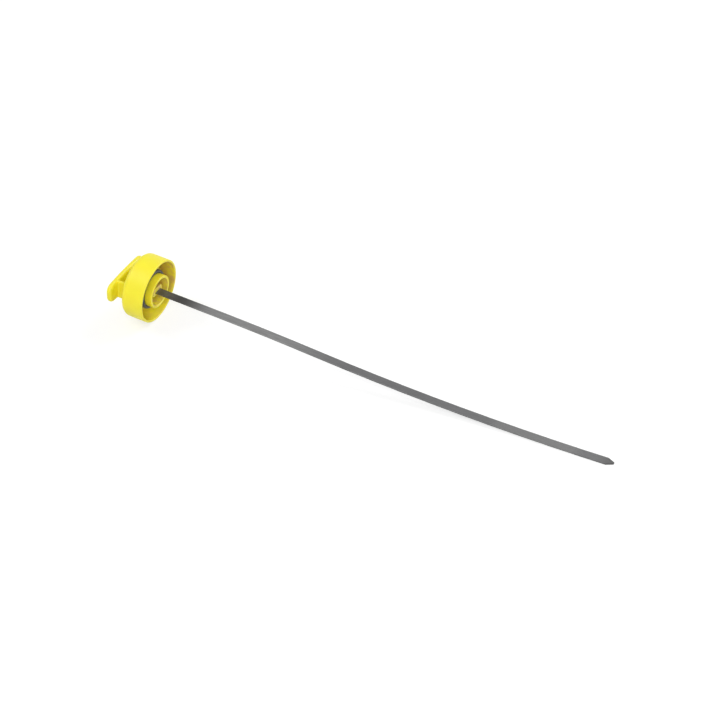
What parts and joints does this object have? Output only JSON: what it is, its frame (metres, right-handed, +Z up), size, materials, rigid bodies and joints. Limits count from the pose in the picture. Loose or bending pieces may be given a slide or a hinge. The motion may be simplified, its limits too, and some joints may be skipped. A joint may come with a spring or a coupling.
{
  "type": "engine oil dipstick",
  "caption": "Engine oil dipstick: a long bowed flat steel blade with a blunt point, in a round yellow plastic cap with a T-handle, an open skirt and a rubber seal ring round its boss.",
  "frame": {"origin": "on the floor, midway along the part as it lies at rest", "axes": "+X along the part from the handle to the blade's tip, +Y across, +Z up; the cap's axis falls towards the tip by about 4.5 degrees"},
  "size_m": [0.3152, 0.04, 0.0408],
  "materials": {
    "yellow_plastic": "moulded, satin gloss",
    "seal_rubber": "smooth moulded rubber",
    "spring_steel": "rolled strip, fine lengthwise grain"
  },
  "bodies": {
    "root": {"cap": "yellow_plastic", "seal_ring": "seal_rubber", "blade": "spring_steel"}
  },
  "joints": []
}
